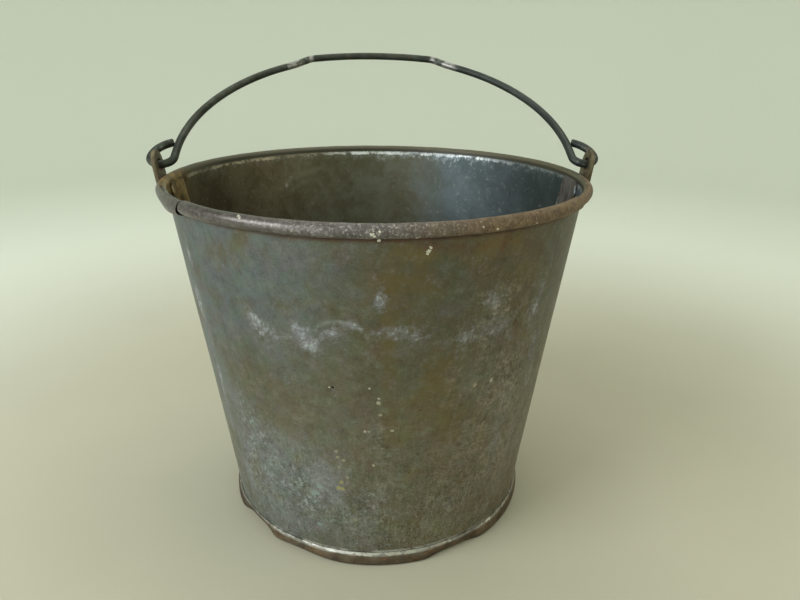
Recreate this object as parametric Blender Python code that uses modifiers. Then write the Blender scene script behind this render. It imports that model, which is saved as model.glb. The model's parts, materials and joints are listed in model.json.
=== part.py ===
"""Milk pail of tinned sheet steel.

Two sheets lapped at two seams make the tapered wall. Their upper edges are rolled outwards
over a rim wire. A bottom disc with a turned-down edge sits inside the wall, and a foot band
is clenched around it. An ear strap stands on each side, riveted through the wall to a
backing plate, and a bent wire bail swings in the eyes of the two ears.

Frame: +Z up, origin on the pail's axis at the plane it stands on, X through the two ears.
The bail is drawn leaning back towards +Y, as it rests. Units are metres.
"""
import math

import bpy
import bmesh
from mathutils import Matrix, Vector

# Wall and rolled rim
RIM_RADIUS = 0.1502          # axis of the pail to the centre of the rim wire
RIM_HEIGHT = 0.2526          # centre of the rim wire above the floor
WALL_LEAN = math.radians(7.53)
SHEET = 0.0006               # thickness of the wall sheet
GAP = 0.0003                 # air between neighbouring pieces
RIM_WIRE_R = 0.0024
BACK_ROLL_R = RIM_WIRE_R + GAP + SHEET / 2           # middle of the sheet in the inner roll
FRONT_ROLL_R = BACK_ROLL_R + SHEET + GAP             # the front roll wraps the back one
ROLL_TURN = math.radians(300)
ROLL_STEPS = 15
WALL_BOTTOM = 0.0014

# The front sheet lies between two seams; the back sheet laps it by LAP at each
TURN_STEP = math.radians(5)
SEAM_LEFT = math.radians(-141.5)
SEAM_RIGHT = math.radians(-35)
LAP = math.radians(5)
RIM_GAP = 0.0032             # open joint in the roll at the left seam

# Bottom and foot
BOTTOM_HEIGHT = 0.0078       # middle of the disc's flat margin
BOTTOM_RADIUS = 0.1128
BOTTOM_RAISE = 0.0010        # the disc's middle stands above its margin
BOTTOM_MARGIN = 0.0095
BOTTOM_STEP = 0.0025         # width of the slope between margin and middle
BOTTOM_BEND = 0.0010         # width and drop of the bend into the turned-down edge
FOOT_BAND = 0.0009
FOOT_TOP = 0.0104
FOOT_RADIUS = 0.1177         # widest middle of the band
FOOT_SHOULDER = 0.0022       # drop from the band's top edge to its straight side
FOOT_KNEE = 0.0028           # height where the band turns in
FOOT_TAPER = 0.0002          # the straight side's top is this much narrower
FOOT_TUCK = 0.0010           # the knee's width
FOOT_FLANGE = 0.0052         # flat that the pail stands on

# Ears, backing plates and rivets
AXIS_HEIGHT = 0.2630         # hinge axis of the bail
EAR_THICK = 0.0026
EAR_HALF_WIDTH = 0.0100
EAR_STANDOFF = 0.0009        # strap to the outside of the roll
EAR_BOTTOM = 0.2030
JOGGLE_BOTTOM = 0.2370
JOGGLE_TOP = 0.2480
EYE_R = 0.0048
PLATE_THICK = 0.0012
PLATE_TOP = 0.2520
PLATE_BOTTOM = 0.1980
PLATE_TOP_HALF = 0.0155
PLATE_BOTTOM_HALF = 0.0205
PLATE_CORNER = 0.0030
PLATE_BULGE = 0.0010         # the outline's middle stands past its corners
PLATE_SECTOR = math.radians(20)
RIVET_HEIGHTS = (0.2300, 0.2120)
RIVET_SHANK_R = 0.0023
RIVET_HOLE_R = 0.0026
RIVET_HEAD_R = 0.0045
RIVET_TAIL_R = 0.0037
RIVET_HEAD_RISE = 0.0022
RIVET_TAIL_RISE = 0.0015

# Bail: a hoop with a raised grip, drawn in its own plane from the hinge axis
BAIL_WIRE_R = 0.0029
BAIL_REST_LEAN = math.radians(64)    # back from upright
HOOP_RADIUS = 0.1470
HOOP_RISE = 0.0172                   # centre of the hoop above the hinge axis
GRIP_ARCH_R = 0.2480
GRIP_RISE = 0.1648
GRIP_HALF = 0.0545
HOOP_END_X = 0.0680                  # where the hoop turns up into the grip
HOOK_R = 0.00845
HOOK_RISE = 0.0085
HOOK_RETURN_R = 0.0205
HOOK_RETURN_TURN = math.radians(67.5)
CORNER_REACH = 0.0045                # the bends beside the grip start this far from the corner
CORNER_STEPS = 3

# Tools that cut, all longer than what they cut through
DRILL_SIDES = 16
DRILL_LENGTH = 0.0200
JOINT_BOX_DEPTH = 0.0120
JOINT_BOX_HEIGHT = 0.0140
BLANK_HALF_WIDTH = 0.0200
PUNCH_HALF_DEPTH = 0.0300

PARTS = "milk_pail"
CUTTERS = "cutters"


def clear_scene():
    """Empty the scene and make the two collections."""
    for obj in list(bpy.data.objects):
        bpy.data.objects.remove(obj, do_unlink=True)
    for name in (PARTS, CUTTERS):
        old = bpy.data.collections.get(name)
        if old:
            bpy.data.collections.remove(old)
        bpy.context.scene.collection.children.link(bpy.data.collections.new(name))


def make_material(name, colour, roughness, metallic):
    """A plain Principled material."""
    material = bpy.data.materials.new(name)
    material.use_nodes = True
    shader = material.node_tree.nodes["Principled BSDF"]
    shader.inputs["Base Color"].default_value = (*colour, 1.0)
    shader.inputs["Roughness"].default_value = roughness
    shader.inputs["Metallic"].default_value = metallic
    return material


def add_object(name, data, collection, material=None):
    """Link a new object to one collection."""
    obj = bpy.data.objects.new(name, data)
    bpy.data.collections[collection].objects.link(obj)
    if collection == CUTTERS:
        obj.hide_render = True
        obj.display_type = "WIRE"
    if material and not data.materials:
        data.materials.append(material)
    return obj


def adopt(obj, name, collection):
    """Name a primitive and move it to one collection."""
    obj.name = name
    for old in list(obj.users_collection):
        old.objects.unlink(obj)
    bpy.data.collections[collection].objects.link(obj)
    if collection == CUTTERS:
        obj.hide_render = True
        obj.display_type = "WIRE"
    return obj


def add_mesh(name, points, edges, collection=PARTS, material=None):
    """An object from points and edges, for a profile that a modifier turns."""
    mesh = bpy.data.meshes.new(name)
    mesh.from_pydata(points, edges, [])
    return add_object(name, mesh, collection, material)


def baked_mesh(obj):
    """The object's mesh as evaluated, with its caps welded."""
    bpy.context.view_layer.update()
    depsgraph = bpy.context.evaluated_depsgraph_get()
    mesh = bpy.data.meshes.new_from_object(obj.evaluated_get(depsgraph))
    work = bmesh.new()
    work.from_mesh(mesh)
    bmesh.ops.remove_doubles(work, verts=work.verts, dist=1e-6)
    bmesh.ops.recalc_face_normals(work, faces=work.faces)
    work.to_mesh(mesh)
    work.free()
    return mesh


def smooth(mesh, angle=35):
    """Smooth shading with creases kept above an angle in degrees."""
    mesh.shade_smooth()
    mesh.set_sharp_from_angle(angle=math.radians(angle))


def cut(obj, cutter, operation="DIFFERENCE"):
    """Add a Boolean modifier with the exact solver."""
    boolean = obj.modifiers.new(cutter.name, "BOOLEAN")
    boolean.operation = operation
    boolean.solver = "EXACT"
    boolean.object = cutter


def turn(obj, angle, steps):
    """Turn a profile around Z by an angle that starts at +X."""
    screw = obj.modifiers.new("turn", "SCREW")
    screw.angle = angle
    screw.steps = steps
    screw.render_steps = steps
    screw.use_merge_vertices = True
    screw.merge_threshold = 1e-5
    screw.use_normal_calculate = True


def chain(points):
    """Edges that join points in a row."""
    return [(i, i + 1) for i in range(len(points) - 1)]


def strip_outline(path, thickness):
    """Both sides of a strip of even thickness along a path in the XZ plane."""
    left, right = [], []
    for i, point in enumerate(path):
        before = (path[i] - path[i - 1]).normalized() if i > 0 else None
        after = (path[i + 1] - path[i]).normalized() if i + 1 < len(path) else None
        along = ((before or after) + (after or before)).normalized()
        normal = Vector((-along.y, along.x))
        spread = 1.0 / max(0.3, along.dot(after or before))
        left.append(point + normal * spread * thickness / 2)
        right.append(point - normal * spread * thickness / 2)
    return left, right


def arc(centre, radius, start, end, steps):
    """Points along an arc in a plane, from one angle to another."""
    angles = [start + (end - start) * i / steps for i in range(steps + 1)]
    return [centre + radius * Vector((math.cos(a), math.sin(a))) for a in angles]


def wall_radius(height, roll_radius):
    """Radius of a sheet's middle surface, for the sheet with this roll."""
    drop = RIM_HEIGHT - height
    return RIM_RADIUS - roll_radius / math.cos(WALL_LEAN) - drop * math.tan(WALL_LEAN)


def sheet_profile(roll_radius):
    """Middle line of a wall sheet: the roll from its free edge, then down the wall."""
    centre = Vector((RIM_RADIUS, RIM_HEIGHT))
    tangent = math.pi - WALL_LEAN
    roll = arc(centre, roll_radius, tangent - ROLL_TURN, tangent, ROLL_STEPS)
    foot = Vector((wall_radius(WALL_BOTTOM, roll_radius), WALL_BOTTOM))
    return [*roll, foot]


def wall_sheet(name, roll_radius, start, end, material):
    """One wall sheet with its rolled edge, turned from start to end and thickened."""
    profile = [Vector((p.x, 0.0, p.y)) for p in sheet_profile(roll_radius)]
    sheet = add_mesh(name, profile, chain(profile), material=material)
    sheet.rotation_euler.z = start
    turn(sheet, end - start, round((end - start) / TURN_STEP))
    shell = sheet.modifiers.new("sheet", "SOLIDIFY")
    shell.thickness = SHEET
    shell.offset = 0.0
    shell.use_even_offset = True
    return sheet


def place_at(azimuth, matrix):
    """Turn a placement on the +X side around to another azimuth."""
    return Matrix.Rotation(azimuth, 4, "Z") @ matrix


def rim_gap_cutter():
    """Box that opens the rolls just beyond the end of the front roll."""
    bpy.ops.mesh.primitive_cube_add(size=1.0)
    box = adopt(bpy.context.object, "rim_gap_cutter", CUTTERS)
    box.data.transform(Matrix.Diagonal((JOINT_BOX_DEPTH, RIM_GAP, JOINT_BOX_HEIGHT, 1.0)))
    inner = RIM_RADIUS - BACK_ROLL_R + SHEET
    middle = Matrix.Translation((inner + JOINT_BOX_DEPTH / 2, -RIM_GAP / 2, RIM_HEIGHT))
    box.matrix_world = place_at(SEAM_LEFT, middle)
    return box


def wall_normal_frame(height):
    """Frame on the back sheet at +X whose Z is the wall's outward normal."""
    spot = Matrix.Translation((wall_radius(height, BACK_ROLL_R), 0.0, height))
    return spot @ Matrix.Rotation(math.pi / 2 + WALL_LEAN, 4, "Y")


def rivet_hole_cutters():
    """One drill for each rivet, keyed by side and height."""
    drills = []
    for side, azimuth in enumerate((0.0, math.pi)):
        for row, height in enumerate(RIVET_HEIGHTS):
            mesh = bpy.data.meshes.new("drill")
            work = bmesh.new()
            bmesh.ops.create_cone(work, cap_ends=True, segments=DRILL_SIDES, radius1=RIVET_HOLE_R,
                                  radius2=RIVET_HOLE_R, depth=DRILL_LENGTH)
            work.to_mesh(mesh)
            work.free()
            drill = add_object(f"drill_{side}_{row}", mesh, CUTTERS)
            off_edge = Matrix.Rotation(math.pi / DRILL_SIDES, 4, "Z")
            drill.matrix_world = place_at(azimuth, wall_normal_frame(height)) @ off_edge
            drills.append(drill)
    return drills


def make_wall(drills, tinned, tinned_back):
    """The two wall sheets, with the rivet holes and the open joint in the roll."""
    front = wall_sheet("body_front", FRONT_ROLL_R, SEAM_LEFT, SEAM_RIGHT, tinned)
    start = SEAM_RIGHT - LAP
    end = SEAM_LEFT + LAP + 2 * math.pi
    back = wall_sheet("body_back", BACK_ROLL_R, start, end, tinned_back)
    cut(back, rim_gap_cutter())
    for drill in drills:
        cut(back, drill)
    smooth(front.data)
    smooth(back.data)


def make_rim_wire(steel):
    """The wire that the rim is rolled over."""
    bpy.ops.mesh.primitive_torus_add(
        major_segments=round(2 * math.pi / TURN_STEP), minor_segments=8,
        major_radius=RIM_RADIUS, minor_radius=RIM_WIRE_R, location=(0, 0, RIM_HEIGHT))
    wire = adopt(bpy.context.object, "rim_wire", PARTS)
    wire.data.materials.append(steel)
    wire.data.shade_smooth()


def turned_ring(name, path, thickness, material):
    """A ring of sheet around a closed loop of profile."""
    left, right = strip_outline(path, thickness)
    loop = [Vector((p.x, 0.0, p.y)) for p in left + right[::-1]]
    edges = chain(loop) + [(len(loop) - 1, 0)]
    ring = add_mesh(name, loop, edges, material=material)
    turn(ring, 2 * math.pi, round(2 * math.pi / TURN_STEP))
    smooth(ring.data)
    return ring


def make_foot_band(steel):
    """Hoop around the lower edge, turned in under the wall to a flat foot."""
    half = FOOT_BAND / 2
    top = Vector((wall_radius(FOOT_TOP, BACK_ROLL_R) + SHEET / 2 + GAP + half, FOOT_TOP))
    path = [
        top,
        Vector((FOOT_RADIUS - FOOT_TAPER, FOOT_TOP - FOOT_SHOULDER)),
        Vector((FOOT_RADIUS, FOOT_KNEE)),
        Vector((FOOT_RADIUS - FOOT_TUCK, half)),
        Vector((FOOT_RADIUS - FOOT_TUCK - FOOT_FLANGE, half)),
    ]
    turned_ring("foot_band", path, FOOT_BAND, steel)


def make_bottom(tinned):
    """Disc with a shallow dish, a stiffening step and a turned-down edge."""
    margin = BOTTOM_RADIUS - BOTTOM_MARGIN
    path = [
        Vector((0.0, BOTTOM_HEIGHT + BOTTOM_RAISE)),
        Vector((margin - BOTTOM_STEP, BOTTOM_HEIGHT + BOTTOM_RAISE)),
        Vector((margin, BOTTOM_HEIGHT)),
        Vector((BOTTOM_RADIUS - BOTTOM_BEND, BOTTOM_HEIGHT)),
        Vector((BOTTOM_RADIUS, BOTTOM_HEIGHT - BOTTOM_BEND)),
        Vector((BOTTOM_RADIUS - BOTTOM_BEND, WALL_BOTTOM)),
    ]
    left, right = strip_outline(path, SHEET)
    outline = left + right[::-1]
    outline[0].x = outline[-1].x = 0.0
    profile = [Vector((p.x, 0.0, p.y)) for p in outline]
    disc = add_mesh("bottom_disc", profile, chain(profile), material=tinned)
    turn(disc, 2 * math.pi, round(2 * math.pi / TURN_STEP))
    smooth(disc.data)


def flat_prism(name, outlines, half_depth, placement, collection):
    """A flat outline, with any holes, extruded both ways and made a mesh object."""
    curve = bpy.data.curves.new(name, "CURVE")
    curve.dimensions = "2D"
    curve.fill_mode = "BOTH"
    curve.extrude = half_depth
    for outline in outlines:
        spline = curve.splines.new("POLY")
        spline.points.add(len(outline) - 1)
        for point, spot in zip(spline.points, outline):
            point.co = (spot.x, spot.y, 0.0, 1.0)
        spline.use_cyclic_u = True
    flat = add_object(name + "_outline", curve, CUTTERS)
    mesh = baked_mesh(flat)
    bpy.data.objects.remove(flat, do_unlink=True)
    solid = add_object(name, mesh, collection)
    solid.matrix_world = placement
    return solid


SIDE_VIEW = Matrix.Rotation(math.pi / 2, 4, "X")
END_VIEW = Matrix(((0, 0, 1, 0), (1, 0, 0, 0), (0, 1, 0, 0), (0, 0, 0, 1)))


def ear_path():
    """Middle line of an ear strap in side view: up the wall, out past the roll, then up."""
    lean = math.tan(WALL_LEAN)
    off_wall = (SHEET / 2 + GAP + EAR_THICK / 2) / math.cos(WALL_LEAN)
    roll_edge = RIM_RADIUS + BACK_ROLL_R + SHEET / 2
    tab = roll_edge + EAR_STANDOFF + EAR_THICK / 2
    crown = AXIS_HEIGHT + EAR_HALF_WIDTH * 1.1

    def on_wall(height):
        return Vector((wall_radius(height, BACK_ROLL_R) + off_wall, height))

    def on_tab(height):
        return Vector((tab + (height - RIM_HEIGHT) * lean, height))

    return [on_wall(EAR_BOTTOM), on_wall(JOGGLE_BOTTOM), on_tab(JOGGLE_TOP), on_tab(crown)]


def ear_front_outline():
    """Outline of an ear in end view, round at the top and at the foot."""
    top = arc(Vector((0.0, AXIS_HEIGHT)), EAR_HALF_WIDTH, 0.0, math.pi, 14)
    foot = arc(Vector((0.0, EAR_BOTTOM + EAR_HALF_WIDTH)), EAR_HALF_WIDTH,
               math.pi, 2 * math.pi, 10)
    eye = arc(Vector((0.0, AXIS_HEIGHT)), EYE_R, 0.0, 2 * math.pi, 20)[:-1]
    return [top + foot, eye]


def both_sides(base_name, mesh, material, placement):
    """One piece on each side, sharing a mesh."""
    mesh.materials.clear()
    mesh.materials.append(material)
    for side, azimuth in (("right", 0.0), ("left", math.pi)):
        piece = add_object(f"{base_name}_{side}", mesh, PARTS)
        piece.matrix_world = place_at(azimuth, placement)


def make_ears(drills, steel):
    """Two ear straps, joggled out past the roll, each with an eye for the bail."""
    left, right = strip_outline(ear_path(), EAR_THICK)
    strap = flat_prism("ear_strap", [left + right[::-1]], BLANK_HALF_WIDTH, SIDE_VIEW, CUTTERS)
    front = flat_prism("ear_outline", ear_front_outline(), PUNCH_HALF_DEPTH,
                       Matrix.Translation((RIM_RADIUS, 0, 0)) @ END_VIEW, CUTTERS)
    cut(strap, front, "INTERSECT")
    for drill in drills[:len(RIVET_HEIGHTS)]:
        cut(strap, drill)
    mesh = baked_mesh(strap)
    mesh.transform(strap.matrix_world)
    smooth(mesh)
    both_sides("ear", mesh, steel, Matrix.Identity(4))


def make_backing_plates(drills, steel):
    """Curved plates inside the wall that the rivets are closed on."""
    inset = SHEET / 2 + GAP + PLATE_THICK / 2
    spots = []
    for height in (PLATE_TOP, PLATE_BOTTOM):
        radius = wall_radius(height, BACK_ROLL_R) - inset / math.cos(WALL_LEAN)
        spots.append(Vector((radius, 0.0, height)))
    sector = add_mesh("plate_sector", spots, chain(spots), CUTTERS)
    sector.rotation_euler.z = -PLATE_SECTOR / 2
    turn(sector, PLATE_SECTOR, 8)
    shell = sector.modifiers.new("plate", "SOLIDIFY")
    shell.thickness = PLATE_THICK
    shell.offset = 0.0
    right_side = [
        Vector((PLATE_BOTTOM_HALF - PLATE_CORNER, PLATE_BOTTOM - PLATE_BULGE)),
        Vector((PLATE_BOTTOM_HALF, PLATE_BOTTOM + PLATE_CORNER)),
        Vector((PLATE_TOP_HALF, PLATE_TOP - PLATE_CORNER)),
        Vector((PLATE_TOP_HALF - PLATE_CORNER, PLATE_TOP + PLATE_BULGE)),
    ]
    left_side = [Vector((-p.x, p.y)) for p in right_side[::-1]]
    shape = flat_prism("plate_outline", [right_side + left_side], PUNCH_HALF_DEPTH,
                       Matrix.Translation((RIM_RADIUS, 0, 0)) @ END_VIEW, CUTTERS)
    cut(sector, shape, "INTERSECT")
    for drill in drills[:len(RIVET_HEIGHTS)]:
        cut(sector, drill)
    mesh = baked_mesh(sector)
    mesh.transform(sector.matrix_world)
    smooth(mesh)
    both_sides("backing_plate", mesh, steel, Matrix.Identity(4))


def dome(radius, rise, base, steps, side):
    """Quarter profile of a domed end, from the axis out to its rim."""
    points = []
    for i in range(steps + 1):
        angle = math.pi / 2 * i / steps
        points.append(Vector((radius * math.sin(angle), 0.0,
                              base + side * rise * math.cos(angle))))
    return points


def make_rivets(steel):
    """Rivets along the wall's normal: head outside the strap, tail inside the plate."""
    head_base = SHEET / 2 + GAP + EAR_THICK + GAP
    tail_base = -(SHEET / 2 + GAP + PLATE_THICK + GAP)
    profile = dome(RIVET_HEAD_R, RIVET_HEAD_RISE, head_base, 4, 1.0)
    profile.append(Vector((RIVET_SHANK_R, 0.0, head_base)))
    profile.append(Vector((RIVET_SHANK_R, 0.0, tail_base)))
    profile += dome(RIVET_TAIL_R, RIVET_TAIL_RISE, tail_base, 3, -1.0)[::-1]
    source = add_mesh("rivet_profile", profile, chain(profile), CUTTERS)
    turn(source, 2 * math.pi, 16)
    mesh = baked_mesh(source)
    bpy.data.objects.remove(source, do_unlink=True)
    smooth(mesh)
    mesh.materials.append(steel)
    for side, azimuth in (("right", 0.0), ("left", math.pi)):
        for row, height in zip(("upper", "lower"), RIVET_HEIGHTS):
            rivet = add_object(f"rivet_{side}_{row}", mesh, PARTS)
            rivet.matrix_world = place_at(azimuth, wall_normal_frame(height))


def bend(before, corner, after):
    """Points of a short rounded bend that replaces a sharp corner."""
    start = corner + (before - corner).normalized() * CORNER_REACH
    end = corner + (after - corner).normalized() * CORNER_REACH
    shares = [k / CORNER_STEPS for k in range(CORNER_STEPS + 1)]
    return [start * (1 - t) ** 2 + corner * 2 * t * (1 - t) + end * t * t for t in shares]


def bail_half_path():
    """The right half of the bail in its own plane, from the cut end to the grip's middle."""
    hook = Vector((HOOP_RADIUS + HOOK_R, HOOK_RISE))
    back = Vector((hook.x + HOOK_R - HOOK_RETURN_R, HOOK_RISE))
    leg = arc(back, HOOK_RETURN_R, HOOK_RETURN_TURN, 0.0, 6)
    leg += arc(hook, HOOK_R, 0.0, -math.pi, 12)[1:]
    hoop = Vector((0.0, HOOP_RISE))
    leg += arc(hoop, HOOP_RADIUS, 0.0, math.acos(HOOP_END_X / HOOP_RADIUS), 12)
    middle = Vector((0.0, GRIP_RISE - GRIP_ARCH_R))
    start = math.acos(GRIP_HALF / GRIP_ARCH_R)
    grip = arc(middle, GRIP_ARCH_R, start, math.pi / 2, 5)
    lower_bend = bend(leg[-2], leg[-1], grip[0])
    upper_bend = bend(leg[-1], grip[0], grip[1])
    return leg[:-1] + lower_bend + upper_bend + grip[1:]


def make_bail(steel):
    """One bent wire: two hooks through the ears, the hoop and a raised grip."""
    half = bail_half_path()
    path = half + [Vector((-p.x, p.y)) for p in half[-2::-1]]
    curve = bpy.data.curves.new("bail", "CURVE")
    curve.dimensions = "3D"
    curve.bevel_depth = BAIL_WIRE_R
    curve.bevel_resolution = 2
    curve.use_fill_caps = True
    spline = curve.splines.new("POLY")
    spline.points.add(len(path) - 1)
    for point, spot in zip(spline.points, path):
        point.co = (spot.x, 0.0, spot.y, 1.0)
    spline.use_smooth = True
    bail = add_object("bail", curve, PARTS, steel)
    bail.location.z = AXIS_HEIGHT
    bail.rotation_euler.x = -BAIL_REST_LEAN


def main():
    """Build every piece."""
    clear_scene()
    tinned = make_material("tinned_sheet", (0.27, 0.27, 0.23), 0.48, 0.85)
    tinned_back = make_material("tinned_sheet_back", (0.22, 0.22, 0.18), 0.50, 0.85)
    rusted = make_material("rusted_band", (0.20, 0.14, 0.09), 0.65, 0.6)
    forged = make_material("forged_ear", (0.24, 0.21, 0.15), 0.60, 0.7)
    wire = make_material("bail_wire", (0.17, 0.17, 0.14), 0.50, 0.85)
    drills = rivet_hole_cutters()
    make_wall(drills, tinned, tinned_back)
    make_rim_wire(forged)
    make_bottom(tinned_back)
    make_foot_band(rusted)
    make_ears(drills, forged)
    make_backing_plates(drills, forged)
    make_rivets(forged)
    make_bail(wire)


main()
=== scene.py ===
"""Looks of a milk pail of tinned sheet steel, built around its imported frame.

Frame: +Z up, origin on the pail's axis at floor level, X through the two ears, -Y the front.
Azimuths are in degrees around +Z from +X, so the front is at -90. Units are metres.
"""
import json
import math
from contextlib import contextmanager

import bmesh
import bpy
from mathutils import Matrix, Vector, noise


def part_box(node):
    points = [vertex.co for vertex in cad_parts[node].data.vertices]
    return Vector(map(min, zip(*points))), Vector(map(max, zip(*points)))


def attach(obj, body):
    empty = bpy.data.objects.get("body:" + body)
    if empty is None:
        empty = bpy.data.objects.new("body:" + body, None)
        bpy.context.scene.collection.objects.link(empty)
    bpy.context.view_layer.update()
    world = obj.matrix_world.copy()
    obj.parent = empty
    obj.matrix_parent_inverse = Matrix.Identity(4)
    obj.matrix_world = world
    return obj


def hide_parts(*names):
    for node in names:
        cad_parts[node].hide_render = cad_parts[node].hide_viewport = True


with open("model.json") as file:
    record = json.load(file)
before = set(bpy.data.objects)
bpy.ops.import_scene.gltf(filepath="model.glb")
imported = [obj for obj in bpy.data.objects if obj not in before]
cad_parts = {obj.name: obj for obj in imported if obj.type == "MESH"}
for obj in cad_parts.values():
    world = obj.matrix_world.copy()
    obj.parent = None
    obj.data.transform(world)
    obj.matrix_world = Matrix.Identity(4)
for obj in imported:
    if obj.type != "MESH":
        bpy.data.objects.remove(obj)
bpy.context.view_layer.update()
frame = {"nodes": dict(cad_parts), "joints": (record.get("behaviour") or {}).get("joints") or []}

# Driving dimensions from the frame
WIRE_LOW, WIRE_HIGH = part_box("rim_wire")
RIM_WIRE_R = (WIRE_HIGH.z - WIRE_LOW.z) / 2
RIM_HEIGHT = (WIRE_HIGH.z + WIRE_LOW.z) / 2
RIM_RADIUS = WIRE_HIGH.x - RIM_WIRE_R
FOOT_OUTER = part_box("foot_band")[1].x
FOOT_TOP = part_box("foot_band")[1].z
HINGE = Vector(frame["joints"][0]["pos_m"])

# Wall
WALL_LEAN = math.radians(7.53)
SHEET = 0.0006
GAP = 0.0003
BACK_ROLL_R = RIM_WIRE_R + GAP + SHEET / 2
FRONT_ROLL_R = BACK_ROLL_R + SHEET + GAP
ROLL_TURN = 300
ROLL_ROWS = 30
ROLL_EASE = 30               # the roll's wear dies out over its last degrees before the wall
WALL_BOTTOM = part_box("body_front")[0].z
WALL_ROWS = 84
SEAM_LEFT = -141.5
SEAM_RIGHT = -35
LAP = 5
JOINT_WIDTH = 1.2            # open joint in the roll, in degrees
EARS = {"right": 0, "left": 180}
STEP_OUT = (FRONT_ROLL_R - BACK_ROLL_R) / math.cos(WALL_LEAN)
STEP_START = 0.03            # degrees past the back sheet's edge where the front steps out
STEP_END = 0.15
STEP_TOP = (0.2468, 0.2498)  # the step fades into the roll between these heights

# Foot band: its section leans out from the wall, drops straight and turns in as a flange
FOOT_BAND = 0.0009
FOOT_CLEAR = 0.00008         # the band's top edge is burnished close against the wall
FOOT_FLANGE = 0.0062         # how far in from the side the flange reaches
FOOT_NECK = (0.0003, 0.0016)      # how far out from the top edge, and how far below it
FOOT_SHOULDER = (0.0002, 0.0032)  # how far in from the side, and how far below the top
FOOT_CORNER = ((0, 0.003), (0.0003, 0.0016), (0.001, 0.0008), (0.0022, FOOT_BAND / 2))

# Bottom disc: radii and heights, from the raised middle out to the skirt against the wall
BOTTOM_HEIGHT = 0.0078
BOTTOM_RAISE = 0.001
BOTTOM_RAISED_R = 0.0996
BOTTOM_SLOPE = ((0.1008, 0.0009), (0.102, 0.0005), (0.1034, 0))
BOTTOM_FLAT_R = (0.106, 0.1112)
BOTTOM_CORNER = ((0.1122, -0.0003), (0.1127, -0.001), (0.1126, -0.0022))
SKIRT_R = 0.1122
SKIRT_HEIGHTS = (0.004, 0.0028, WALL_BOTTOM + 0.0002)

# Ears, backing plates and rivets
EAR_THICK = 0.0026
EAR_EDGE = 0.0005
PLATE_THICK = 0.0012
PLATE_EDGE = 0.0003
PLATE_TOP = 0.252
PLATE_TOP_HALF = 0.0155
PLATE_FLARE = 0.097          # gain in half width for each metre below the top
RIVET_HEAD_R = 0.0045
RIVET_HEAD_RISE = 0.0022
RIVET_TAIL_R = 0.0037
RIVET_TAIL_RISE = 0.0015
RIVET_SHANK_R = 0.0023
RIVET_BEAT = 0.00018         # depth of the hammer marks
RIVET_SQUASH = 0.03          # how far a hammered head is out of round, as a share of its radius

# Bail
BAIL_WIRE_R = 0.0029
BAIL_CHAMFER = 0.0006
BAIL_SIDES = 20
BAIL_UNEVEN = 0.00008
BAIL_REST_LEAN = math.radians(64)
HOOP_RADIUS = 0.147
HOOP_RISE = 0.0172
GRIP_ARCH_R = 0.248
GRIP_RISE = 0.1648
GRIP_HALF = 0.0545
HOOP_END_X = 0.068
HOOK_R = 0.00845
HOOK_RISE = 0.0085
HOOK_RETURN_R = 0.0205
HOOK_RETURN_TURN = math.radians(67.5)
CORNER_REACH = 0.0045
KINKS = ((HOOP_END_X, 0.01), (GRIP_HALF, 0.004))  # places of worn bends and their half widths
KINK_WORN = 0.9
HOOK_WORN = 0.35
HOOK_START = (HOOP_RADIUS - 0.004, HOOP_RADIUS + 0.006)

# Hard use: where the foot is pushed in, as azimuth, half width, depth and flatness
FOOT_DENTS = (
    (-144.5, 9.5, 0.0066, 4),
    (-122, 11, 0.0038, 2),
    (-63, 9.5, 0.0044, 4),
    (38, 12, 0.0016, 2),
    (118, 14, 0.0022, 3),
)
DENT_TOP = 0.0118            # the dents die out at this height
DENT_FADE = 1.2
FOOT_WEAR_AND_HIGHLIGHT = (-96, 33, 4)     # where the band's top edge is rubbed bare, with a painted highlight, brightest: azimuth, half width, flatness
FOOT_LEAST_WEAR_AND_HIGHLIGHT = 0.72
FOOT_EDGE = (FOOT_TOP - 0.004, FOOT_TOP - 0.0012)
FOOT_DARK_TOP = 0.005
FOOT_WAVE = 0.00025
FOOT_WAVE_ZONE = ((0.0015, 0.004), (0.006, 0.0085))
FOOT_LIFT = 0.00018
FOOT_LIFT_START = (0.006, 0.01)
BOTTOM_DENT_R = (0.08, 0.112)
BOTTOM_DING = 0.0005
BOTTOM_DING_R = (0.1, 0.08)
WALL_SWAY = 0.0007
WALL_SWAY_ZONE = ((0.014, 0.05), (0.2, 0.24))
RIM_SWAY = 0.0006
RIM_SWAY_START = (0.12, 0.25)
ROLL_RIPPLE = 0.00013
RIPPLES = ((1, 1), (2.7, 0.6), (6.1, 0.4))  # ever finer and weaker
LOOSE_END = -147             # the back roll has come loose here, beside the open joint
LOOSE_HALF = 7
LOOSE_SAG = 0.0028
LOOSE_UNDER = (20, -60)      # the sag grows between these turns around the roll
SWELL_AT = -162              # the back roll is fatter here
SWELL_HALF = 16
SWELL = 0.0008
SWELL_UNDER = (110, 60)


# ---- shapes of wear

def smooth_step(value, low, high):
    """0 at low, 1 at high, smooth between. Low may be the larger of the two."""
    t = min(1.0, max(0.0, (value - low) / (high - low)))
    return t * t * (3 - 2 * t)


def in_zone(value, rise, fall):
    """1 between a rise and a fall, each given as the two ends of its slope."""
    return smooth_step(value, *rise) * (1 - smooth_step(value, *fall))


def near(azimuth, centre, half_width, power=2):
    """1 at an azimuth, falling smoothly away past the half width."""
    away = (azimuth - centre + 180) % 360 - 180
    return math.exp(-abs(away / half_width) ** power)


def near_value(value, centre, half_width):
    """1 at the centre, falling smoothly away past the half width."""
    return math.exp(-((value - centre) / half_width) ** 2)


def around(azimuth, radius=1, height=0):
    """Point at an azimuth."""
    a = math.radians(azimuth)
    return Vector((radius * math.cos(a), radius * math.sin(a), height))


def wobble(azimuth, waves, level):
    """Noise that closes on itself around the pail, busier with more waves, for one level."""
    return noise.noise(around(azimuth, waves, level))


def off_ears(azimuth, half_width=14):
    """0 at both ears, where straps and plates lie flat on the wall, 1 elsewhere."""
    return 1 - max(near(azimuth, ear, half_width, 4) for ear in EARS.values())


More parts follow.
